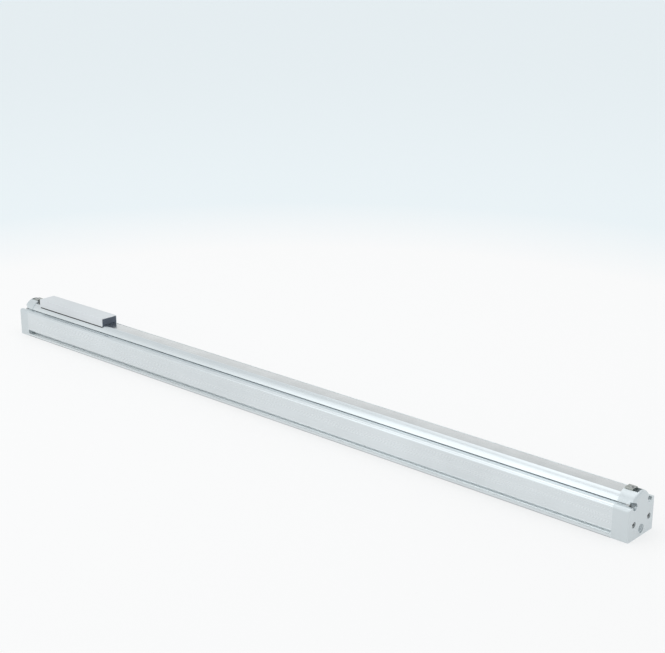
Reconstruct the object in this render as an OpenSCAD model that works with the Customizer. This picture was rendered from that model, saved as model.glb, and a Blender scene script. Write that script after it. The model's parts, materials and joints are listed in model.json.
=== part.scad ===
// Rodless pneumatic cylinder with a slotted barrel, two sealing bands and a slider
// that the piston drives through the slot.
// +X runs along the barrel, +Z is up, the origin is the middle of the base.
// The slider stands at its stop at the -X end.

/* [Overall] */
// Working stroke of the slider
stroke = 705; // [300:5:1500]
// From an end face to the slider's middle at its stop
end_len = 92.5; // [91:0.5:110]

/* [Barrel] */
// Width of the profile
body_w = 44; // [43.6:0.1:50]
// Height of the box part, up to the shoulders
shoulder_z = 32.5; // [32.2:0.1:33.2]
// Radius of the dome over the bore
dome_r = 15; // [14.9:0.05:15.3]
// Height of the dome's centre
dome_z = 27.9; // [27.8:0.05:28.3]
// Bore diameter
bore_d = 25; // [24.4:0.1:25.3]
// Height of the bore's centre
bore_z = 24; // [23.8:0.1:24.1]
// Width of the slot that the driver's web runs in
slot_w = 5.5; // [5.1:0.1:6]
// Opening of the lengthwise fixing groove in each side
groove_mouth = 5; // [4.6:0.1:5.6]
// Height of the fixing grooves' middle
groove_z = 5.9; // [5.7:0.1:6.2]
// Radius of the upper outer edges
shoulder_round = 3.5; // [2:0.1:4.5]
// Radius of the lower outer edges
base_round = 1; // [0.5:0.1:1.5]

/* [End caps] */
// Length of an end cap
cap_len = 17.3; // [17:0.1:20]
// How far the cap's dome stands above the barrel's
cap_proud = 0.4; // [0.2:0.05:0.6]
// Rounding of the cap's upright outer edges
cap_round = 2.4; // [1:0.1:2.6]
// Rounding of the outer edge of the cap's dome
dome_round = 3.6; // [2:0.1:4]
// Length of the boss that centres the cap in the bore
boss_len = 6; // [5:0.1:8]
// Radius of the port thread's core
port_r = 4.4; // [4:0.1:4.6]
// Height of the port
port_z = 7.2; // [6.6:0.1:7.4]
// Core radius of the fixing threads in the caps' undersides
foot_thread_r = 2.1; // [1.6:0.05:2.3]
// Distance between those two threads
foot_thread_gap = 26; // [25:0.5:28]

/* [Slider] */
// Length of the slider
slider_len = 124; // [120:1:128]
// Width of the slider
slider_w = 22.8; // [22.4:0.1:23.4]
// Height of the slider's top above the base
slider_top_z = 49.1; // [48.8:0.1:52]
// Core radius of the fixing threads in the slider's side
load_thread_r = 1.65; // [1.3:0.05:1.8]
// Distance between those two threads
load_thread_gap = 80; // [78:1:84]

/* [Piston] */
// Length of one piston
piston_len = 30; // [29:0.5:31]
// Outer radius of the cushioning spigots
spigot_r = 5; // [4.6:0.1:5.3]
// How far a spigot stands out of its cap's boss
spigot_len = 16; // [12:0.5:17]

/* [Bands] */
// Width of the outer cover band
cover_w = 15.6; // [15:0.1:16]
// Thickness of the cover band
cover_t = 0.4; // [0.3:0.05:0.5]
// Width of the inner sealing band
inner_w = 9.2; // [8.4:0.1:9.4]
// Thickness of the sealing band at its middle
inner_t = 0.6; // [0.5:0.05:0.7]

/* [Hidden] */
$fn = 64;

// Clearances: between fixed pieces, round a thread, and of the moving pieces
fit = 0.05;
slack = 0.1;
run = 0.2;
over = 1;                                   // how far a cutter reaches past a face

// Overall lengths
total_len = stroke + 2 * end_len;
end_x = total_len / 2;
seam_x = end_x - cap_len;                   // joint between barrel and cap
slider_x = end_len - end_x;                 // the slider's middle at rest
half_w = body_w / 2;
bore_r = bore_d / 2;

// Bands and their seats; the cover band lies flush in the flat on top of the dome
cover_seat_half = cover_w / 2 + slack;
band_lip = 0.6;                             // strip of the flat on each side of the band
flat_half = cover_seat_half + band_lip;
flat_z = dome_z + sqrt(dome_r * dome_r - flat_half * flat_half);
cover_z = flat_z - cover_t;
inner_seat_half = inner_w / 2 + slack;
inner_top_z = bore_z + bore_r + inner_t;    // ledge that the sealing band lies against
dome_top_z = dome_z + dome_r;

// Side grooves and hollow chambers of the profile
groove_lip = 1.8;
groove_depth = 4.8;
groove_inner = groove_mouth + 2.4;
line_w = 0.9;                               // fine line at the foot of the dome
line_depth = 1.3;
cap_line_depth = 0.5;
line_y = sqrt(dome_r * dome_r - pow(shoulder_z - dome_z, 2)) - 0.1;
chamber_round = 1;
low_chamber = [1.2, 2.6, 11.8, 6.6];        // inner edge, lower edge, width, height
side_chamber = [15.6, 18.6, 3.8, 9];

// Cap screws, M3 socket heads
screw_core_r = 1.25;
screw_r = 1.5;
screw_hole_r = 1.6;
head_r = 2.75;
head_len = 3;
seat_r = head_r + 0.2;
socket_r = 1.45;                            // hexagon across corners, halved
socket_len = 1.6;
thread_len = 8;
upper_screw = [12.8, bore_z + 7];
lower_screw = [13, bore_z - 9];
notch_r = 3.6;                              // open pocket over each upper screw
notch_len = 5;
notch_at = [12.7, bore_z + 8.2];
lower_sink = 0.8;                           // how deep the lower heads lie

// Inside a cap
port_len = 9;
channel_x = end_x - 8;
channel_r = 2;
centre_r = 3;
centre_end = 5.6;                           // wall left behind the centre hole
spigot_seat = 8;
boss_r = bore_r - slack;
seal_wire_r = 0.78;
seal_mid_r = bore_r - seal_wire_r - 0.02;
seal_x = 2.6;                               // from the seam into the barrel
plug_len = 5;
plug_gap = 0.8;
bleed_r = 1;
needle_x = seam_x + 4;
needle_r = 2;
needle_len = 11;
needle_tip_r = 0.85;
needle_sink = 0.6;
bleed_y = 8.5;
foot_thread_x = seam_x + 4.1;
foot_thread_len = 9;

// Band ends in a cap
band_in_cap = 5;
clamp_w = 8.8;
clamp_low = flat_z + 0.02;
clamp_top = dome_top_z + cap_proud + 0.8;
clamp_start = 0.8;
clamp_len = 8.1;
clamp_round = 0.6;
clamp_cone = 1.3;                           // countersink of the clamp's screw
clamp_screw_at = 6.7;
clamp_hole_len = 4.5;
slot_start = 9.4;                           // deep slot behind the clamp
slot_end_wall = 3;
slot_depth = 2.5;
clamp_slot_w = 8;

// Slider, counted from its middle
half_slider = slider_len / 2;
yoke_half_w = slider_w / 2;
yoke_gap = 0.9;                             // room over the dome for the slide strips
channel_half = cover_w / 2 + 0.4;
plate_half_len = 24;                        // driver plate that carries the yoke
plate_half_w = channel_half + 1.1;
plate_undercut = 0.6;                       // slope of its edges, which run in grooves of the yoke
plate_t = 1.6;
plate_z = flat_z + 0.7;
lift_z = plate_z + plate_t + 0.4;           // cover band where it passes over the plate
channel_z = lift_z + cover_t + 0.4;         // ceiling of the band's channel in the yoke
lift_half_len = plate_half_len + 1.5;
ramp_len = 12;
lap = 1;                                    // how far an arch runs into the straight stretches
cover_plug_len = 6;
cover_rim = 0.8;
wiper_t = 2;
wiper_depth = 1.2;
guide_start = lift_half_len + ramp_len + lap + run;
guide_end = half_slider - cover_plug_len - slack;
guide_gap = 0.25;
yoke_round = 1;
set_screw_x = [-18, -6, 6, 18];             // set screws that clamp the yoke on the plate
set_screw_z = plate_z + plate_t / 2 + 0.15;
set_screw_r = 0.85;
set_screw_sink = 0.3;
set_socket_r = 0.5;
set_tip_r = 0.45;
set_tip_len = 0.9;
load_thread_z = slider_top_z - 2.7;
load_thread_len = 6;

// Piston group, counted from the slider's middle
stop_gap = 0.5;
piston_end = end_len - cap_len - boss_len - stop_gap;
piston_start = piston_end - piston_len;
piston_r = bore_r - 0.3;
carrier_r = bore_r - 0.5;
carrier_half_len = 26;
dip = 5;                                    // how far the sealing band dips under the web
dip_z = bore_z + bore_r - dip;
dip_half_len = carrier_half_len + 1.5;
dip_ramp_end = piston_start - 0.5;
passage_gap = 0.45;
web_half_w = slot_w / 2 - 0.35;
web_half_len = 22;
stud_r = 4;
stud_len = 8;
cushion_bore_r = spigot_r + 0.6;
cushion_bore_len = spigot_len + 2.5;
ring_grooves = [[4, 6, 1.2], [12, 4, 2.6], [21.5, 5, 3]];   // start, width, depth
cushion_groove = [1, 1.9, 1.5];

// --- shapes shared by several pieces -------------------------------------------

// Extrudes a section drawn as (Y, Z) along +X
module along_x(x, len) translate([x, 0, 0]) rotate([90, 0, 90]) linear_extrude(len) children();

// Round bar along +X
module bar(x, len, r, y = 0, z = bore_z) translate([x, y, z]) rotate([0, 90, 0]) cylinder(h = len, r = r);

// Piece drawn at the +X end, put at the +X (side = 1) or the -X end (side = -1)
module at_end(side) if (side > 0) children(); else mirror([1, 0, 0]) children();

// Piece of the slider group, drawn about x = 0 and put where the slider rests
module on_slider(side = 1) translate([slider_x, 0, 0]) at_end(side) children();

module rounded_rect(x, y, w, h, r) translate([x, y]) {
    translate([r, 0]) square([w - 2 * r, h]);
    translate([0, r]) square([w, h - 2 * r]);
    for (cx = [r, w - r], cy = [r, h - r]) translate([cx, cy]) circle(r);
}

// Box part of the section, with its base and shoulder edges rounded
module box_section() {
    translate([-half_w, base_round]) square([body_w, shoulder_z - base_round - shoulder_round]);
    translate([base_round - half_w, 0]) square([body_w - 2 * base_round, shoulder_z / 2]);
    translate([shoulder_round - half_w, shoulder_z / 2])
        square([body_w - 2 * shoulder_round, shoulder_z / 2]);
    for (s = [-1, 1]) {
        translate([s * (half_w - base_round), base_round]) circle(base_round);
        translate([s * (half_w - shoulder_round), shoulder_z - shoulder_round]) circle(shoulder_round);
    }
}

module centred_rect(w, low, high) translate([-w / 2, low]) square([w, high - low]);

// Fine lines along the foot of the dome, on both sides
module foot_lines(depth) for (s = [-1, 1])
    translate([s * line_y - line_w / 2, shoulder_z - depth]) square([line_w, depth + over]);

module screw_places() for (s = [-1, 1], p = [upper_screw, lower_screw])
    translate([0, s * p[0], p[1]]) children();

// Dome with the flat for the cover band, larger by gap
module dome_outline(gap) intersection() {
    translate([0, dome_z]) circle(dome_r + gap);
    centred_rect(body_w, 0, flat_z + gap);
}

// --- barrel --------------------------------------------------------------------

module barrel_section() difference() {
    union() {
        box_section();
        dome_outline(0);
    }
    centred_rect(2 * cover_seat_half, cover_z, dome_top_z);
    translate([0, bore_z]) circle(bore_r);
    centred_rect(2 * inner_seat_half, bore_z + bore_r / 2, inner_top_z);
    centred_rect(slot_w, bore_z, dome_top_z + over);
    foot_lines(line_depth);
    for (s = [0, 1]) mirror([s, 0]) {
        translate([half_w - groove_lip - fit, groove_z - groove_mouth / 2])
            square([groove_lip + over, groove_mouth]);
        translate([half_w - groove_depth, groove_z - groove_inner / 2])
            square([groove_depth - groove_lip, groove_inner]);
        rounded_rect(low_chamber[0], low_chamber[1], low_chamber[2], low_chamber[3], chamber_round);
        rounded_rect(side_chamber[0], side_chamber[1], side_chamber[2], side_chamber[3], chamber_round);
    }
}

module profile_barrel() color("gainsboro") difference() {
    along_x(-seam_x, 2 * seam_x) barrel_section();
    for (side = [-1, 1]) at_end(side) screw_places()
        bar(seam_x - thread_len - over, thread_len + 2 * over, screw_core_r, 0, 0);
}

// --- end caps ------------------------------------------------------------------

// Box part with its two upright outer edges rounded
module cap_box() intersection() {
    along_x(seam_x, cap_len) box_section();
    linear_extrude(shoulder_z + over) {
        translate([seam_x, -half_w]) square([cap_len - cap_round, body_w]);
        translate([seam_x, cap_round - half_w]) square([cap_len, body_w - 2 * cap_round]);
        for (s = [-1, 1]) translate([end_x - cap_round, s * (half_w - cap_round)]) circle(cap_round);
    }
}

// Dome as a turned shape, so that its rounded edge runs round the end
module cap_dome() translate([seam_x, 0, dome_z]) rotate([0, 90, 0]) rotate_extrude() {
    square([dome_r + cap_proud, cap_len - dome_round]);
    square([dome_r + cap_proud - dome_round, cap_len]);
    translate([dome_r + cap_proud - dome_round, cap_len - dome_round]) circle(dome_round);
}

module cap_boss() difference() {
    bar(seam_x - boss_len, boss_len + over, boss_r);
    difference() {
        bar(seam_x - seal_x - seal_wire_r - fit, 2 * (seal_wire_r + fit), bore_r + over);
        bar(seam_x - boss_len - over, boss_len + 2 * over, seal_mid_r - seal_wire_r - 0.02);
    }
}

module cap_band_pocket() {
    translate([seam_x - over, -inner_seat_half, bore_z + bore_r - 1.6])
        cube([band_in_cap + over + slack, 2 * inner_seat_half, inner_t + 1.6 + fit]);
    translate([seam_x - over, -cover_seat_half, cover_z])
        cube([band_in_cap + over + slack, 2 * cover_seat_half, cover_t + fit]);
    translate([seam_x - over, -clamp_w / 2 - slack, cover_z])
        cube([cap_len - slot_end_wall + over, clamp_w + 2 * slack, dome_r]);
    translate([seam_x + slot_start, -clamp_slot_w / 2, cover_z - slot_depth])
        cube([cap_len - slot_start - slot_end_wall, clamp_slot_w, slot_depth + over]);
    translate([seam_x + clamp_screw_at, 0, cover_z - clamp_hole_len])
        cylinder(h = clamp_hole_len + over, r = screw_core_r + 0.02);
}

module cap_air_ways() {
    bar(end_x - port_len, port_len + over, port_r, 0, port_z);
    translate([channel_x, 0, port_z]) cylinder(h = bore_z - port_z, r = channel_r);
    bar(seam_x - boss_len - over, cap_len + boss_len + over - centre_end, centre_r);
    bar(seam_x - boss_len - over, spigot_seat + over, spigot_r + 0.02);
    translate([channel_x, half_w - plug_len - plug_gap, port_z]) rotate([-90, 0, 0])
        cylinder(h = plug_len + plug_gap + over, r = port_r);
    translate([channel_x, 0, port_z]) rotate([-90, 0, 0])
        cylinder(h = half_w - plug_len, r = channel_r / 1.4);
    translate([needle_x, half_w - needle_len - needle_sink, bore_z]) rotate([-90, 0, 0])
        cylinder(h = needle_len + over + needle_sink, r = needle_r + fit);
    translate([needle_x, 0, bore_z]) rotate([-90, 0, 0]) cylinder(h = half_w - needle_len, r = bleed_r);
    bar(seam_x - boss_len - over, boss_len + over + needle_x - seam_x, bleed_r, bleed_y);
}

module cap_screw_holes() for (s = [-1, 1]) {
    bar(seam_x - over, cap_len + over, screw_hole_r, s * upper_screw[0], upper_screw[1]);
    bar(end_x - notch_len - head_len, head_len + over, seat_r, s * upper_screw[0], upper_screw[1]);
    bar(end_x - notch_len, notch_len + over, notch_r, s * notch_at[0], notch_at[1]);
    bar(seam_x - over, cap_len + over, screw_hole_r, s * lower_screw[0], lower_screw[1]);
    bar(end_x - lower_sink - head_len, lower_sink + head_len + over, seat_r,
        s * lower_screw[0], lower_screw[1]);
    translate([foot_thread_x, s * foot_thread_gap / 2, -over])
        cylinder(h = foot_thread_len + over, r = foot_thread_r);
}

module end_cap(side) color("gainsboro") at_end(side) difference() {
    union() {
        cap_box();
        cap_dome();
        cap_boss();
    }
    along_x(seam_x - over, cap_len + 2 * over) foot_lines(cap_line_depth);
    cap_band_pocket();
    cap_air_ways();
    cap_screw_holes();
}

module cap_seal(side) color("black") at_end(side) translate([seam_x - seal_x, 0, bore_z])
    rotate([0, 90, 0]) rotate_extrude() translate([seal_mid_r, 0]) circle(seal_wire_r, $fn = 32);

module cushion_spigot(side) color("silver") at_end(side) difference() {
    union() {
        bar(seam_x - boss_len - spigot_len + spigot_r / 4, spigot_len + spigot_seat - spigot_r / 4, spigot_r);
        translate([seam_x - boss_len - spigot_len, 0, bore_z]) rotate([0, 90, 0])
            cylinder(h = spigot_r / 4, r1 = spigot_r * 0.85, r2 = spigot_r);
    }
    bar(seam_x - boss_len - spigot_len - over, spigot_len + spigot_seat + 2 * over, spigot_r / 2);
}

// Socket head screw along -X, its head's top at x
module socket_screw(x, y, z, tip_x) difference() {
    union() {
        bar(x - head_len, head_len, head_r, y, z);
        bar(seam_x, x - head_len - seam_x, screw_r, y, z);
        bar(tip_x, seam_x - tip_x, screw_core_r - 0.02, y, z);
    }
    translate([x - socket_len, y, z]) rotate([0, 90, 0])
        cylinder(h = socket_len + over, r = socket_r, $fn = 6);
}

module cap_screws(side) color("dimgray") at_end(side) for (s = [-1, 1]) {
    socket_screw(end_x - notch_len, s * upper_screw[0], upper_screw[1], seam_x - thread_len + over);
    socket_screw(end_x - lower_sink, s * lower_screw[0], lower_screw[1], seam_x - thread_len + over);
}

module port_plug(side) color("silver") at_end(side)
    translate([channel_x, half_w - plug_len, port_z]) rotate([-90, 0, 0]) difference() {
        cylinder(h = plug_len, r = port_r - fit);
        translate([0, 0, plug_len / 2]) cylinder(h = plug_len, r = port_r / 1.8, $fn = 6);
    }

module cushion_needle(side) color("goldenrod") at_end(side)
    translate([needle_x, half_w - needle_sink, bore_z]) rotate([90, 0, 0]) difference() {
        union() {
            cylinder(h = needle_len - over, r = needle_r);
            cylinder(h = needle_len + over, r = needle_tip_r);
        }
        translate([-needle_r - over, -needle_r / 7, -over])
            cube([2 * (needle_r + over), needle_r / 3.5, 2 * over]);
    }

// --- bands ---------------------------------------------------------------------

inner_end_x = seam_x + band_in_cap;
arch_t = inner_t - fit;

// Flat strip through (x, z) points of its lower face, mirrored about the slider's middle
module arched_strip(points, t, w) translate([slider_x, w / 2, 0]) rotate([90, 0, 0]) linear_extrude(w)
    polygon(concat(
        [for (p = points) [-p[0], p[1]]],
        [for (i = [len(points) - 1 : -1 : 0]) points[i]],
        [for (p = points) [p[0], p[1] + t]],
        [for (i = [len(points) - 1 : -1 : 0]) [-points[i][0], points[i][1] + t]]));

// Straight stretches on both sides of the slider, from its arch to the caps
module straight_stretches(arch_half, end) {
    along_x(-end, end + slider_x - arch_half) children();
    along_x(slider_x + arch_half, end - slider_x - arch_half) children();
}

module inner_band() color("slategray") {
    straight_stretches(dip_ramp_end, inner_end_x) difference() {
        centred_rect(inner_w, bore_z + bore_r - 1.5, inner_top_z);
        translate([0, bore_z]) circle(bore_r);
    }
    arched_strip([[dip_ramp_end + lap, inner_top_z - arch_t], [dip_ramp_end, inner_top_z - arch_t],
        [dip_half_len, dip_z]], arch_t, inner_w);
}

module cover_band() color("lightgray") {
    straight_stretches(lift_half_len + ramp_len, inner_end_x)
        centred_rect(cover_w, cover_z, cover_z + cover_t);
    arched_strip([[lift_half_len + ramp_len + lap, cover_z], [lift_half_len + ramp_len, cover_z],
        [lift_half_len, lift_z]], cover_t, cover_w);
}

module band_clamp(side) color("darkgray") at_end(side) difference() {
    along_x(seam_x + clamp_start, clamp_len)
        rounded_rect(-clamp_w / 2, clamp_low, clamp_w, clamp_top - clamp_low, clamp_round);
    translate([seam_x + clamp_screw_at, 0, clamp_low - over])
        cylinder(h = clamp_top - clamp_low + 2 * over, r = screw_hole_r);
    translate([seam_x + clamp_screw_at, 0, clamp_top - clamp_cone])
        cylinder(h = clamp_cone + 0.001, r1 = screw_hole_r, r2 = head_r + slack);
}

module clamp_screw(side) color("dimgray") at_end(side)
    translate([seam_x + clamp_screw_at, 0, 0]) difference() {
        union() {
            translate([0, 0, cover_z - clamp_hole_len + 0.5])
                cylinder(h = clamp_top - clamp_cone / 2 - cover_z + clamp_hole_len - 0.5, r = screw_core_r);
            translate([0, 0, clamp_top - clamp_cone])
                cylinder(h = clamp_cone, r1 = screw_core_r + slack, r2 = head_r - slack);
        }
        translate([0, 0, clamp_top - clamp_cone / 2]) cylinder(h = clamp_cone, r = socket_r * 0.8, $fn = 6);
    }

// --- slider --------------------------------------------------------------------

// Driver plate with undercut edges, larger by gap
module plate_section(gap) {
    top = plate_half_w + gap;
    foot = top - plate_undercut;
    polygon([[-foot, plate_z - gap], [foot, plate_z - gap],
        [top, plate_z + plate_t + gap], [-top, plate_z + plate_t + gap]]);
}

module yoke_section() difference() {
    union() {
        centred_rect(slider_w, dome_z, slider_top_z - yoke_round);
        centred_rect(slider_w - 2 * yoke_round, dome_z, slider_top_z);
        for (s = [-1, 1]) translate([s * (yoke_half_w - yoke_round), slider_top_z - yoke_round])
            circle(yoke_round);
    }
    translate([0, dome_z]) circle(dome_r + yoke_gap);
    centred_rect(slider_w + over, dome_z - over,
        dome_z + sqrt(pow(dome_r + yoke_gap, 2) - pow(yoke_half_w, 2)));
    centred_rect(2 * channel_half, dome_z, channel_z);
    plate_section(fit);
}

// Set screws through the yoke's rear wall, drawn from the plate's edge outwards
module set_screw_places() for (x = set_screw_x)
    translate([x, plate_half_w, set_screw_z]) rotate([-90, 0, 0]) children();

// Section of the black covers in the slider's ends, with room for the cover band
module slider_cover_section(gap) difference() {
    centred_rect(slider_w - 2 * cover_rim + 2 * gap, dome_z, slider_top_z - cover_rim + gap);
    dome_outline(run);
    centred_rect(slider_w + over, dome_z - over,
        dome_z + sqrt(pow(dome_r + run, 2) - pow(yoke_half_w - cover_rim, 2)));
}

module slider_yoke() color("gainsboro") on_slider() difference() {
    along_x(-half_slider, slider_len) yoke_section();
    for (side = [-1, 1]) at_end(side) along_x(half_slider - cover_plug_len - fit, cover_plug_len + over)
        slider_cover_section(fit);
    set_screw_places() translate([0, 0, -plate_undercut]) cylinder(h = yoke_half_w, r = set_screw_r + 0.02);
    for (s = [-1, 1]) translate([s * load_thread_gap / 2, yoke_half_w + over, load_thread_z])
        rotate([90, 0, 0]) cylinder(h = load_thread_len + over, r = load_thread_r);
}

module wiper_slot(grow) along_x(half_slider - cover_plug_len / 2 - wiper_t / 2 - grow, wiper_t + 2 * grow)
    intersection() {
        difference() {
            dome_outline(wiper_depth + grow);
            if (grow == 0) dome_outline(slack);
        }
        centred_rect(slider_w - 2 * cover_rim - 2 + 2 * grow,
            dome_z + sqrt(dome_r * dome_r - pow(yoke_half_w - cover_rim - 1, 2)) - slack, slider_top_z);
    }

module slider_cover(side) color("#33363a") on_slider(side) difference() {
    along_x(half_slider - cover_plug_len, cover_plug_len) slider_cover_section(0);
    wiper_slot(fit);
}

module wiper(side) color("black") on_slider(side) wiper_slot(0);

module band_guide(side) color("black") on_slider(side)
    along_x(guide_start, guide_end - guide_start)
        centred_rect(cover_w, flat_z + guide_gap, channel_z - fit);

module slide_strip(s) color("black") on_slider()
    along_x(cover_plug_len + slack - half_slider, slider_len - 2 * (cover_plug_len + slack)) intersection() {
        difference() {
            translate([0, dome_z]) circle(dome_r + yoke_gap - fit);
            translate([0, dome_z]) circle(dome_r + run);
        }
        translate([s > 0 ? plate_half_w + slack : -yoke_half_w + slack, dome_z])
            square([yoke_half_w - plate_half_w - 2 * slack, dome_r + over]);
    }

// --- piston group --------------------------------------------------------------

module piston_driver() color("silver") on_slider() difference() {
    union() {
        bar(-carrier_half_len, 2 * carrier_half_len, carrier_r);
        intersection() {
            bar(-piston_start, 2 * piston_start, carrier_r);
            along_x(-piston_start, 2 * piston_start) centred_rect(bore_d, 0, dip_z - passage_gap);
        }
        bar(-piston_start - stud_len, 2 * (piston_start + stud_len), stud_r);
        translate([-web_half_len, -web_half_w, bore_z])
            cube([2 * web_half_len, 2 * web_half_w, plate_z - bore_z + plate_t]);
        along_x(-plate_half_len, 2 * plate_half_len) plate_section(0);
    }
    along_x(-piston_end, 2 * piston_end)
        centred_rect(inner_w + 6 * slack, dip_z - passage_gap, dip_z + inner_t + passage_gap);
    set_screw_places() translate([0, 0, -set_tip_len - fit])
        cylinder(h = set_tip_len + over, r = set_tip_r + fit);
}

module yoke_screws() color("dimgray") on_slider() set_screw_places() difference() {
    union() {
        translate([0, 0, -set_tip_len]) cylinder(h = set_tip_len + 2 * fit, r = set_tip_r);
        translate([0, 0, fit])
            cylinder(h = yoke_half_w - plate_half_w - set_screw_sink - fit, r = set_screw_r);
    }
    translate([0, 0, yoke_half_w - plate_half_w - set_screw_sink - over])
        cylinder(h = 2 * over, r = set_socket_r, $fn = 6);
}

module ring_gap(i, depth) difference() {
    bar(piston_start + ring_grooves[i][0], ring_grooves[i][1], bore_r + over);
    bar(piston_start, piston_len, piston_r - depth);
}

module piston(side) color("silver") on_slider(side) difference() {
    bar(piston_start, piston_len, piston_r);
    for (i = [0 : 2]) ring_gap(i, ring_grooves[i][2]);
    bar(piston_start - over, stud_len + 2 * over, stud_r + 0.02);
    bar(piston_end - cushion_bore_len, cushion_bore_len + over, cushion_bore_r);
    bar(piston_end - cushion_groove[0] - cushion_groove[1], cushion_groove[1],
        cushion_bore_r + cushion_groove[2]);
}

// Plain ring in groove i of a piston, up to radius r
module piston_ring(i, r) difference() {
    bar(piston_start + ring_grooves[i][0] + fit, ring_grooves[i][1] - 2 * fit, r);
    bar(piston_start, piston_len, piston_r - ring_grooves[i][2] + 0.02);
}

// Seal with two lips that open towards the pressure
module piston_seal(side) color("black") on_slider(side) difference() {
    piston_ring(2, bore_r - slack);
    translate([piston_start + ring_grooves[2][0] + ring_grooves[2][1] - fit - 2, 0, bore_z])
        rotate([0, 90, 0])
        rotate_extrude() polygon([[bore_r - 1.6, 0], [bore_r - 0.8, 2.1], [bore_r - 2.4, 2.1]]);
}

module guide_ring(side) color("tan") on_slider(side) piston_ring(0, bore_r - slack);

module piston_magnet(side) color("dimgray") on_slider(side) piston_ring(1, piston_r - slack);

module cushion_seal(side) color("black") on_slider(side) difference() {
    bar(piston_end - cushion_groove[0] - cushion_groove[1] + fit, cushion_groove[1] - 2 * fit,
        cushion_bore_r + cushion_groove[2] - 0.02);
    bar(piston_start, piston_len, spigot_r + fit);
}

profile_barrel();
end_cap(-1);  // end_cap_left
end_cap(1);  // end_cap_right
cap_seal(-1);  // cap_seal_left
cap_seal(1);  // cap_seal_right
cushion_spigot(-1);  // cushion_spigot_left
cushion_spigot(1);  // cushion_spigot_right
cap_screws(-1);  // cap_screws_left
cap_screws(1);  // cap_screws_right
port_plug(-1);  // port_plug_left
port_plug(1);  // port_plug_right
inner_band();
cover_band();
band_clamp(-1);  // band_clamp_left
band_clamp(1);  // band_clamp_right
clamp_screw(-1);  // clamp_screw_left
clamp_screw(1);  // clamp_screw_right
cushion_needle(-1);  // cushion_needle_left
cushion_needle(1);  // cushion_needle_right
slider_yoke();
slider_cover(-1);  // slider_cover_left
slider_cover(1);  // slider_cover_right
wiper(-1);  // wiper_left
wiper(1);  // wiper_right
band_guide(-1);  // band_guide_left
band_guide(1);  // band_guide_right
slide_strip(-1);  // slide_strip_front
slide_strip(1);  // slide_strip_rear
piston_driver();
yoke_screws();
piston(-1);  // piston_left
piston(1);  // piston_right
piston_seal(-1);  // piston_seal_left
piston_seal(1);  // piston_seal_right
guide_ring(-1);  // guide_ring_left
guide_ring(1);  // guide_ring_right
piston_magnet(-1);  // piston_magnet_left
piston_magnet(1);  // piston_magnet_right
cushion_seal(-1);  // cushion_seal_left
cushion_seal(1);  // cushion_seal_right
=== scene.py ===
import json
import math
import bpy
import bmesh
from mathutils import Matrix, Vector


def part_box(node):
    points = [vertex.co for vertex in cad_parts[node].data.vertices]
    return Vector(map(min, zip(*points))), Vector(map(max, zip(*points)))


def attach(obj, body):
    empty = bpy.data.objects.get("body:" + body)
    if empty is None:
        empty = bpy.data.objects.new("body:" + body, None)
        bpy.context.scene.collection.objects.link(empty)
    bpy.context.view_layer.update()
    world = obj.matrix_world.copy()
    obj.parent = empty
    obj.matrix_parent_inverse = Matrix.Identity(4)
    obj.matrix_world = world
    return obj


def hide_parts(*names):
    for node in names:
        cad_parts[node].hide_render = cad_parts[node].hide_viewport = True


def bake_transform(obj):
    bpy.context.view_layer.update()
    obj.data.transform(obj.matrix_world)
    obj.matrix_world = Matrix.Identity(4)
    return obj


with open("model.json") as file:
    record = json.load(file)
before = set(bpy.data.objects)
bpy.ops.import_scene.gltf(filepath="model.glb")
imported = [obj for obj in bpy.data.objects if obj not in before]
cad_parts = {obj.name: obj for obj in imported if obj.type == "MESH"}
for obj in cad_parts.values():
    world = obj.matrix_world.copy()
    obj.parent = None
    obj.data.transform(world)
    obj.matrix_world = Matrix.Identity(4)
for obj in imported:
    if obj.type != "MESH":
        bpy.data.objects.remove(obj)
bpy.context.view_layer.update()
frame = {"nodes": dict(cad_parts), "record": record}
nodes = frame["nodes"]
scene = bpy.context.scene

MM = 0.001
SIDES = ((-1, "left"), (1, "right"))         # along X
ROWS = ((-1, "front"), (1, "rear"))          # along Y

# --- camera -------------------------------------------------------------------------
CAM_AT = (0.9796, -1.0013, 0.5500)
CAM_LOOK = (-0.6375, 0.7069, -0.3064)
CAM_LENS = 74.12
cam_data = bpy.data.cameras.new("camera")
cam = bpy.data.objects.new("camera", cam_data)
scene.collection.objects.link(cam)
scene.camera = cam
cam_data.sensor_fit = "HORIZONTAL"
cam_data.sensor_width = 36.0
cam_data.lens = CAM_LENS
cam_data.clip_start = 0.01
cam_data.clip_end = 60.0
cam.location = CAM_AT
cam.rotation_euler = Vector(CAM_LOOK).normalized().to_track_quat("-Z", "Y").to_euler()

scene.view_settings.view_transform = "Standard"


# --- shader helpers -----------------------------------------------------------------
def material(name):
    m = bpy.data.materials.new(name)
    m.use_nodes = True
    nt = m.node_tree
    return m, nt, nt.nodes["Principled BSDF"]


def node(nt, kind, **values):
    n = nt.nodes.new(kind)
    for k, v in values.items():
        setattr(n, k, v)
    return n


def calc(nt, operation, *values):
    """A math node. Each value is a number or an output."""
    m = node(nt, "ShaderNodeMath", operation=operation)
    for sock, v in zip(m.inputs, values):
        if isinstance(v, float):
            sock.default_value = v
        else:
            nt.links.new(v, sock)
    return m.outputs[0]


def coords(nt, scale=(1, 1, 1), turn=(0, 0, 0)):
    """Object coordinates in metres, stretched by scale."""
    tc = node(nt, "ShaderNodeTexCoord")
    mp = node(nt, "ShaderNodeMapping")
    mp.inputs["Scale"].default_value = scale
    mp.inputs["Rotation"].default_value = turn
    nt.links.new(tc.outputs["Object"], mp.inputs["Vector"])
    return mp.outputs["Vector"]


def noise(nt, vec, scale, detail, rough):
    n = node(nt, "ShaderNodeTexNoise")
    n.inputs["Scale"].default_value = scale
    n.inputs["Detail"].default_value = detail
    n.inputs["Roughness"].default_value = rough
    nt.links.new(vec, n.inputs["Vector"])
    return n.outputs["Fac"]


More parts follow.
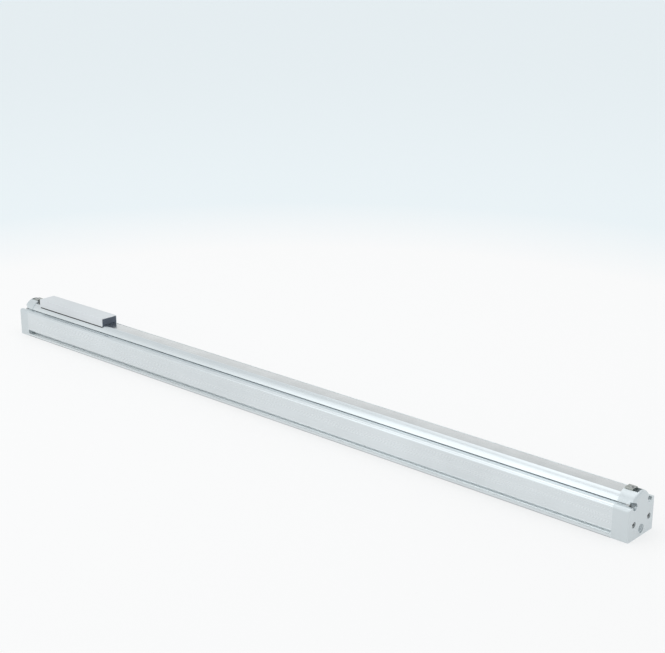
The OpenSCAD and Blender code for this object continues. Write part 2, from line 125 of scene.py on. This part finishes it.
def span(nt, fac, lo, hi, a=0.0, b=1.0):
    """Maps fac from lo..hi to a..b."""
    n = node(nt, "ShaderNodeMapRange")
    for k, v in (("From Min", lo), ("From Max", hi), ("To Min", a), ("To Max", b)):
        n.inputs[k].default_value = v
    nt.links.new(fac, n.inputs["Value"])
    return n.outputs["Result"]


def off(nt, axis, lo, hi, a=0.0, b=1.0):
    """Maps the distance from the object's origin along an axis from lo..hi metres to a..b."""
    s = node(nt, "ShaderNodeSeparateXYZ")
    nt.links.new(coords(nt), s.inputs[0])
    return span(nt, calc(nt, "ABSOLUTE", s.outputs[axis]), lo, hi, a, b)


def colours(nt, fac, *stops):
    r = node(nt, "ShaderNodeValToRGB")
    while len(r.color_ramp.elements) < len(stops):
        r.color_ramp.elements.new(0.5)
    for e, (p, c) in zip(r.color_ramp.elements, stops):
        e.position = p
        e.color = (*c, 1)
    nt.links.new(fac, r.inputs["Fac"])
    return r.outputs["Color"]


def mix(nt, fac, a, b):
    """Goes from a to b, each a colour or an output, as fac goes from 0 to 1."""
    n = node(nt, "ShaderNodeMix", data_type="RGBA")
    nt.links.new(fac, n.inputs[0])
    for sock, v in ((n.inputs[6], a), (n.inputs[7], b)):
        if isinstance(v, tuple):
            sock.default_value = (*v, 1)
        else:
            nt.links.new(v, sock)
    return n.outputs[2]


def bump(nt, bsdf, height, strength, distance=0.05 * MM):
    b = node(nt, "ShaderNodeBump")
    b.inputs["Strength"].default_value = strength
    b.inputs["Distance"].default_value = distance
    nt.links.new(height, b.inputs["Height"])
    nt.links.new(b.outputs["Normal"], bsdf.inputs["Normal"])


def toned(tone, factor, lift=0.0):
    return tuple(min(1, c * factor + lift) for c in tone)


def edge_wear(nt, width=0.3 * MM):
    """1 on sharp convex edges, found from inside the piece so that it doesn't depend on the mesh."""
    n = node(nt, "ShaderNodeAmbientOcclusion", inside=True, only_local=True, samples=8)
    n.inputs["Distance"].default_value = width
    return span(nt, n.outputs["AO"], 0.90, 0.60)


def cavity(nt):
    """1 in sharp inner corners, where it paints shade."""
    g = node(nt, "ShaderNodeNewGeometry")
    return span(nt, g.outputs["Pointiness"], 0.46, 0.38)


# --- materials ----------------------------------------------------------------------
CORNER_SHADE_LO, CORNER_SHADE_HI = 18 * MM, 26 * MM          # heights over which the painted shade in the corners begins
FOOT_LO, FOOT_HI = 0.4 * MM, 1.2 * MM        # heights over which the painted shade along the lower edge ends
GROOVE_LO, GROOVE_HI = 2.1 * MM, 9.7 * MM    # floor and roof of the side grooves
GROOVE_MOUTH = 21.8 * MM
SOFT = 0.1 * MM
# paler tone painted inside the side grooves as painted light
GROOVE_PAINTED_LIGHT = (0.82, 0.85, 0.86)


def barrel_painted_shading(nt, base, dark):
    """Paints shade into the narrow lines beside the dome and along the lower edge, and paints the metal
    inside the side grooves paler as painted light."""
    # painted shade in the narrow lines beside the dome, on the upper body only
    lines = calc(nt, "MULTIPLY", cavity(nt), off(nt, "Z", CORNER_SHADE_LO, CORNER_SHADE_HI, 0.0, 0.7))
    base = mix(nt, lines, base, dark)
    # painted shade along the lower edge, where the barrel meets the floor
    base = mix(nt, off(nt, "Z", FOOT_LO, FOOT_HI, 0.7, 0.0), base, dark)
    # painted light: the inside of the side grooves is painted paler, in place of the light it misses
    groove = calc(nt, "MULTIPLY", off(nt, "Z", GROOVE_LO - SOFT, GROOVE_LO + SOFT),
                  off(nt, "Z", GROOVE_HI - SOFT, GROOVE_HI + SOFT, 1.0, 0.0))
    inside = off(nt, "Y", GROOVE_MOUTH - SOFT, GROOVE_MOUTH + SOFT, 1.0, 0.0)
    return mix(nt, calc(nt, "MULTIPLY", groove, inside), base, GROOVE_PAINTED_LIGHT)


def anodised(name, tone, lines, rough, metal=1.0, shade=0.25, marks=None):
    """Satin anodised aluminium. lines is the stretch that makes drawn lines, or None for a blasted
    face. shade is how dark the painted shade in the inner corners is, and marks adds what one piece alone
    has."""
    m, nt, b = material(name)
    b.inputs["Metallic"].default_value = metal
    cloud = noise(nt, coords(nt), scale=9.0, detail=4.0, rough=0.6)
    base = colours(nt, cloud, (0.30, toned(tone, 0.95)), (0.70, toned(tone, 1.035)))
    if lines:
        streak = noise(nt, coords(nt, lines), scale=420.0, detail=4.0, rough=0.7)
        broad = noise(nt, coords(nt, lines), scale=160.0, detail=3.0, rough=0.6)
        base = mix(nt, span(nt, streak, 0.35, 0.7, 0.0, 0.08), base, toned(tone, 0.84))
        base = mix(nt, span(nt, broad, 0.52, 0.72, 0.0, 0.22), base, toned(tone, 1.07))
        r = span(nt, streak, 0.3, 0.7, rough - 0.03, rough + 0.04)
        bump(nt, b, streak, strength=0.012)
    else:
        fine = noise(nt, coords(nt), scale=2600.0, detail=2.0, rough=0.6)
        r = span(nt, fine, 0.3, 0.7, rough - 0.04, rough + 0.06)
        bump(nt, b, fine, strength=0.12)
    # a few light handling marks, and bare metal on the corners
    rub = noise(nt, coords(nt, (0.25, 1, 1), (0.3, 0.2, 0.5)), scale=420.0, detail=6.0, rough=0.75)
    base = mix(nt, span(nt, rub, 0.66, 0.74, 0.0, 0.18), base, toned(tone, 0.80))
    base = mix(nt, edge_wear(nt), base, toned(tone, 1.15))
    # painted shade: the inner corners are darkened towards this tone, by shade
    dark = toned(tone, 0.16)
    base = mix(nt, calc(nt, "MULTIPLY", cavity(nt), shade), base, dark)
    if marks:
        base = marks(nt, base, dark)
    nt.links.new(base, b.inputs["Base Color"])
    nt.links.new(r, b.inputs["Roughness"])
    return m


def steel(name, tone, rough, lines, depth=0.15):
    """Bare metal with fine lines along the direction in which lines stretches them."""
    m, nt, b = material(name)
    b.inputs["Metallic"].default_value = 1.0
    streak = noise(nt, coords(nt, lines), scale=1500.0, detail=4.0, rough=0.7)
    cloud = noise(nt, coords(nt), scale=40.0, detail=4.0, rough=0.6)
    base = colours(nt, cloud, (0.3, toned(tone, 0.88)), (0.7, tone))
    base = mix(nt, span(nt, streak, 0.35, 0.7, 0.0, 0.35), base, toned(tone, 0.74))
    base = mix(nt, edge_wear(nt), base, toned(tone, 1.3, 0.03))
    nt.links.new(base, b.inputs["Base Color"])
    nt.links.new(span(nt, streak, 0.3, 0.7, rough - 0.05, rough + 0.1), b.inputs["Roughness"])
    bump(nt, b, streak, strength=depth)
    return m


def moulded(name, tone, rough, grain, depth):
    """Plastic or rubber with a fine moulded grain."""
    m, nt, b = material(name)
    fine = noise(nt, coords(nt), scale=grain, detail=3.0, rough=0.6)
    cloud = noise(nt, coords(nt), scale=60.0, detail=4.0, rough=0.6)
    base = colours(nt, cloud, (0.3, toned(tone, 0.85)), (0.7, toned(tone, 1.15)))
    base = mix(nt, edge_wear(nt), base, toned(tone, 1.5, 0.02))
    nt.links.new(base, b.inputs["Base Color"])
    nt.links.new(span(nt, fine, 0.3, 0.7, rough - 0.06, rough + 0.08), b.inputs["Roughness"])
    bump(nt, b, fine, strength=depth, distance=0.08 * MM)
    return m


MATERIALS = {
    "barrel_anodised": anodised("barrel anodised", (0.70, 0.745, 0.765), lines=(0.012, 1, 1), rough=0.28,
                                marks=barrel_painted_shading),
    "cap_anodised": anodised("cap anodised", (0.66, 0.71, 0.73), lines=None, rough=0.40, metal=0.70,
                             shade=0.15),
    "yoke_anodised": anodised("yoke anodised", (0.73, 0.76, 0.78), lines=(0.02, 1, 1), rough=0.42),
    "screw_steel": steel("screw steel", (0.42, 0.43, 0.43), 0.34, (1, 1, 1), depth=0.08),
    "band_steel": steel("band steel", (0.72, 0.735, 0.74), 0.16, (0.01, 1, 1)),
    "clamp_steel": steel("clamp steel", (0.40, 0.42, 0.40), 0.30, (0.05, 1, 1)),
    "plug_nickel": steel("plug nickel", (0.60, 0.59, 0.55), 0.3, (1, 1, 1)),
    "needle_brass": steel("needle brass", (0.72, 0.52, 0.22), 0.28, (1, 0.05, 1)),
    "turned_aluminium": steel("turned aluminium", (0.66, 0.67, 0.68), 0.33, (1, 0.03, 0.03)),
    "black_plastic": moulded("black plastic", (0.080, 0.100, 0.135), 0.5, 1800.0, 0.3),
    "guide_plastic": moulded("guide plastic", (0.5, 0.42, 0.28), 0.5, 1500.0, 0.2),
    "magnet_ferrite": moulded("magnet ferrite", (0.07, 0.07, 0.075), 0.6, 2400.0, 0.4),
    "black_rubber": moulded("black rubber", (0.02, 0.02, 0.022), 0.65, 1500.0, 0.25),
}
for part in frame["record"]["subparts"]:
    o = nodes[part["node"]]
    o.data.materials.clear()
    o.data.materials.append(MATERIALS[part["material_slot"]])


# --- pieces of the scene ------------------------------------------------------------
def piece(name, verts, faces, slot, body):
    """A closed mesh that rides a body, or rides none where body is None."""
    me = bpy.data.meshes.new(name)
    me.from_pydata(verts, [], faces)
    me.update()
    o = bpy.data.objects.new(name, me)
    scene.collection.objects.link(o)
    bm = bmesh.new()
    bm.from_mesh(me)
    bmesh.ops.recalc_face_normals(bm, faces=bm.faces)
    bm.to_mesh(me)
    bm.free()
    me.materials.append(MATERIALS[slot])
    if body:
        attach(o, body)
    return o


STRIP_POINTS = 9                             # points across a band's face


def strip(name, path, half_w, t, slot, upper=0.0, lower=0.0, body=None):
    """A band swept along (x, z) points of its lower face. Towards its edges the two faces drop by
    upper and lower."""
    verts, faces = [], []
    for x, z in path:
        for top in (0, 1):
            for i in range(STRIP_POINTS):
                u = -1 + 2 * i / (STRIP_POINTS - 1)
                y = u * half_w
                drop = (upper if top else lower) * u * u
                verts.append((x, -y if top else y, z + top * t - drop))
    n = 2 * STRIP_POINTS
    for s in range(len(path) - 1):
        for i in range(n):
            a, b = s * n + i, s * n + (i + 1) % n
            faces.append((a, b, b + n, a + n))
    faces.append(tuple(range(n))[::-1])
    faces.append(tuple(range((len(path) - 1) * n, len(path) * n)))
    return piece(name, verts, faces, slot, body)


def stretches(name, ends, bend_half, z, **section):
    """The two straight stretches of a band that the slider bends as it passes. Each reaches from its
    cap to the bend, straight, with points near its ends alone."""
    made = []
    for (_, side), cap_x in zip(SIDES, ends):
        bend_x = slider_x + math.copysign(bend_half, cap_x)
        inset = math.copysign(MM, cap_x)
        path = [(x, z) for x in (cap_x, cap_x - inset, bend_x + inset, bend_x)]
        o = strip(f"{name}_{side}", path, **section)
        made.append(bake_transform(o))
    return made


yoke_lo, yoke_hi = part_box("slider_yoke")
slider_x = (yoke_lo[0] + yoke_hi[0]) / 2
LAP = 1 * MM                                 # how far a bend's ends reach over the straight stretches

# The cover band lies on the barrel and rises over the driver's plate inside the yoke
COVER_T = 0.4 * MM
CROWN = 0.2 * MM                             # how much lower its edges lie
LIFT_HALF, RAMP = 25.5 * MM, 12 * MM         # half of the level stretch over the plate, and the way up
BEND_STEPS = 40
EASE, CLEAR = 0.1 * MM, 0.02 * MM            # how much narrower and higher the bend is than its band
band_lo, band_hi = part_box("cover_band")
seat_z, cover_half = band_lo[2], (band_hi[1] - band_lo[1]) / 2
lift = band_hi[2] - COVER_T - seat_z
bend_half = LIFT_HALF + RAMP
cover = dict(t=COVER_T, slot="band_steel", upper=CROWN, lower=CROWN)
arch_path = []
for i in range(-BEND_STEPS, BEND_STEPS + 1):
    d = abs(i) / BEND_STEPS * (bend_half + LAP)
    k = min(1.0, max(0.0, (bend_half - d) / RAMP))
    arch_path.append((slider_x + math.copysign(d, i), seat_z + lift * k * k * (3 - 2 * k) + CLEAR))
arch = strip("cover_arch", arch_path, half_w=cover_half - EASE, body="slider", **cover)
ends = (band_lo[0], band_hi[0])
for o in stretches("cover_strip", ends, bend_half, seat_z, half_w=cover_half, **cover) + [arch]:
    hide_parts("cover_band")

# The sealing band lies against the slot from inside and dips under the driver's web
INNER_T, DIP_T = 0.6 * MM, 0.55 * MM
EDGE_DROP = 0.88 * MM                        # how much lower the edges of its lower face lie
DIP_HALF, DIP_END = 27.5 * MM, 38.2 * MM     # half lengths of the dip's level stretch and of the dip
DIP_Z = 31.5 * MM
band_lo, band_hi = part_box("inner_band")
seat_z, inner_half = band_hi[2] - INNER_T, (band_hi[1] - band_lo[1]) / 2
top_z = band_hi[2] - DIP_T
dip_path = [(slider_x + x, z) for x, z in (
    (-DIP_END - LAP, top_z), (-DIP_END, top_z), (-DIP_HALF, DIP_Z),
    (DIP_HALF, DIP_Z), (DIP_END, top_z), (DIP_END + LAP, top_z))]
dip = strip("inner_dip", dip_path, half_w=inner_half, t=DIP_T, slot="band_steel", body="slider")
inner = dict(half_w=inner_half, t=INNER_T, slot="band_steel", lower=EDGE_DROP)
ends = (band_lo[0], band_hi[0])
for o in stretches("inner_strip", ends, DIP_END, seat_z, **inner) + [dip]:
    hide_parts("inner_band")

# Black lips under the yoke's long edges, which wipe the dome as the slider passes. Their black also stands
# in for the shade in the gap between yoke and dome.
LIP = ((11.45, 37.74), (11.45, 39.1), (11.0, 39.1), (11.0, 38.26))   # section, in mm
for row, label in ROWS:
    ends = (yoke_lo[0] + MM, yoke_hi[0] - MM)
    verts = [(x, row * y * MM, z * MM) for x in ends for y, z in LIP]
    faces = [(i, (i + 1) % 4, 4 + (i + 1) % 4, 4 + i) for i in range(4)] + [(3, 2, 1, 0), (4, 5, 6, 7)]
    piece(f"slide_lip_{label}", verts, faces, "black_rubber", "slider")

# Threads inside the ports and the threaded holes, as ridges from the mouth inwards. Lengths are in mm.
TURN_STEPS = 36
RIDGE_DEPTH, RIDGE_BASE, RIDGE_CREST = 0.32, 0.42, 0.06   # shares of the pitch
THREAD_START, THREAD_ENDS = 0.7, 1.2         # turns left plain at the mouth, and at both ends
PORT = dict(r=4.4, pitch=0.907, length=8.4, slot="cap_anodised", body="barrel")       # G1/8
FOOT = dict(r=2.1, pitch=0.8, length=8.5, slot="cap_anodised", body="barrel")         # M5
LOAD = dict(r=1.65, pitch=0.7, length=5.6, slot="yoke_anodised", body="slider")       # M4
CAP_END, PORT_Z = 445.0, 7.2
FOOT_X, FOOT_Y = 431.8, 13.0
SLIDER_SIDE, LOAD_X, LOAD_Z = 11.4, 40.0, 46.4


def thread(name, mouth, inward, r, pitch, length, slot, body):
    depth = RIDGE_DEPTH * pitch
    section = ((r, -RIDGE_BASE), (r - depth, -RIDGE_CREST), (r - depth, RIDGE_CREST), (r, RIDGE_BASE))
    along = Vector(inward)
    side_a = along.orthogonal().normalized()
    side_b = along.cross(side_a)
    verts, faces = [], []
    steps = int((length / pitch - THREAD_ENDS) * TURN_STEPS)
    for k in range(steps + 1):
        angle = 2 * math.pi * k / TURN_STEPS
        out = side_a * math.cos(angle) + side_b * math.sin(angle)
        at = pitch * (THREAD_START + k / TURN_STEPS)
        for radius, shift in section:
            verts.append((Vector(mouth) + along * (at + shift * pitch) + out * radius) * MM)
        if k:
            a = 4 * (k - 1)
            faces += [(a + i, a + (i + 1) % 4, a + 4 + (i + 1) % 4, a + 4 + i) for i in range(4)]
    faces += [(0, 1, 2, 3), tuple(4 * steps + i for i in (3, 2, 1, 0))]
    return piece(name, verts, faces, slot, body)


for end, side in SIDES:
    thread(f"port_thread_{side}", (end * CAP_END, 0, PORT_Z), (-end, 0, 0), **PORT)
    for row, label in ROWS:
        thread(f"foot_thread_{side}_{label}", (end * FOOT_X, row * FOOT_Y, 0), (0, 0, 1), **FOOT)
    load_x = slider_x / MM + end * LOAD_X
    thread(f"load_thread_{side}", (load_x, SLIDER_SIDE, LOAD_Z), (0, -1, 0), **LOAD)

# --- floor, surroundings and light --------------------------------------------------
FLOOR_RADIUS = 14.0
FLOOR_NEAR, FLOOR_FAR = 0.72, 1.05           # distances over which the floor's tone changes
FLOOR_NEAR_TONE, FLOOR_FAR_TONE = (1.0, 1.0, 1.0), (0.875, 0.945, 0.975)
FLOOR_GLOW = 0.65
ROOM_LIGHT, ROOM_SEEN = 0.78, 1.0
ROOM_LOW, ROOM_MID, ROOM_TOP = (0.98, 1.0, 1.0), (0.82, 0.84, 0.85), (0.84, 0.86, 0.88)


def seen(nt):
    """1 for camera, glossy and transmission rays, 0 for the rays that carry diffuse light."""
    paths = node(nt, "ShaderNodeLightPath")
    total = paths.outputs["Is Camera Ray"]
    for name in ("Is Glossy Ray", "Is Transmission Ray"):
        total = calc(nt, "MAXIMUM", total, paths.outputs[name])
    return total


def white_floor():
    """Floor that takes the shadow, with a white glow that only the eye and reflections see."""
    bm = bmesh.new()
    bmesh.ops.create_circle(bm, cap_ends=True, radius=FLOOR_RADIUS, segments=96)
    me = bpy.data.meshes.new("floor")
    bm.to_mesh(me)
    bm.free()
    floor = bpy.data.objects.new("floor", me)
    scene.collection.objects.link(floor)
    m, nt, b = material("floor")
    b.inputs["Roughness"].default_value = 0.6
    b.inputs["Specular IOR Level"].default_value = 0.2
    place = node(nt, "ShaderNodeTexCoord")
    far = node(nt, "ShaderNodeVectorMath", operation="LENGTH")
    nt.links.new(place.outputs["Object"], far.inputs[0])
    tone = mix(nt, span(nt, far.outputs["Value"], FLOOR_NEAR, FLOOR_FAR), FLOOR_NEAR_TONE, FLOOR_FAR_TONE)
    nt.links.new(tone, b.inputs["Base Color"])
    glow = node(nt, "ShaderNodeEmission")
    nt.links.new(tone, glow.inputs["Color"])
    both = node(nt, "ShaderNodeMixShader")
    nt.links.new(calc(nt, "MULTIPLY", seen(nt), FLOOR_GLOW), both.inputs["Fac"])
    nt.links.new(b.outputs["BSDF"], both.inputs[1])
    nt.links.new(glow.outputs["Emission"], both.inputs[2])
    nt.links.new(both.outputs["Shader"], nt.nodes["Material Output"].inputs["Surface"])
    me.materials.append(m)


def surroundings():
    """Pale room: plain light on the object, white where the eye and reflections see it."""
    world = bpy.data.worlds.new("world")
    scene.world = world
    world.use_nodes = True
    nt = world.node_tree
    back = nt.nodes["Background"]
    way = node(nt, "ShaderNodeTexCoord")
    up = node(nt, "ShaderNodeSeparateXYZ")
    nt.links.new(way.outputs["Generated"], up.inputs[0])
    sky = colours(nt, up.outputs["Z"], (0.0, ROOM_LOW), (0.24, ROOM_LOW), (0.50, ROOM_MID), (1.0, ROOM_TOP))
    nt.links.new(sky, back.inputs["Color"])
    nt.links.new(span(nt, seen(nt), 0.0, 1.0, ROOM_LIGHT, ROOM_SEEN), back.inputs["Strength"])


def area(name, at, to, size, power, colour):
    """A rectangular lamp at one point, turned towards another."""
    d = bpy.data.lights.new(name, "AREA")
    d.shape = "RECTANGLE"
    d.size, d.size_y = size
    d.energy = power
    d.color = colour
    o = bpy.data.objects.new(name, d)
    scene.collection.objects.link(o)
    o.location = at
    o.rotation_euler = (Vector(to) - Vector(at)).to_track_quat("-Z", "Y").to_euler()


white_floor()
surroundings()
area("top", at=(-0.2, 0.25, 1.9), to=(0, 0, 0), size=(2.4, 1.6), power=9.0, colour=(1.0, 1.0, 0.99))
area("front", at=(-0.8, -1.75, 1.2), to=(0.2, 0, 0), size=(1.5, 1.4), power=4.4, colour=(0.97, 0.99, 1.0))
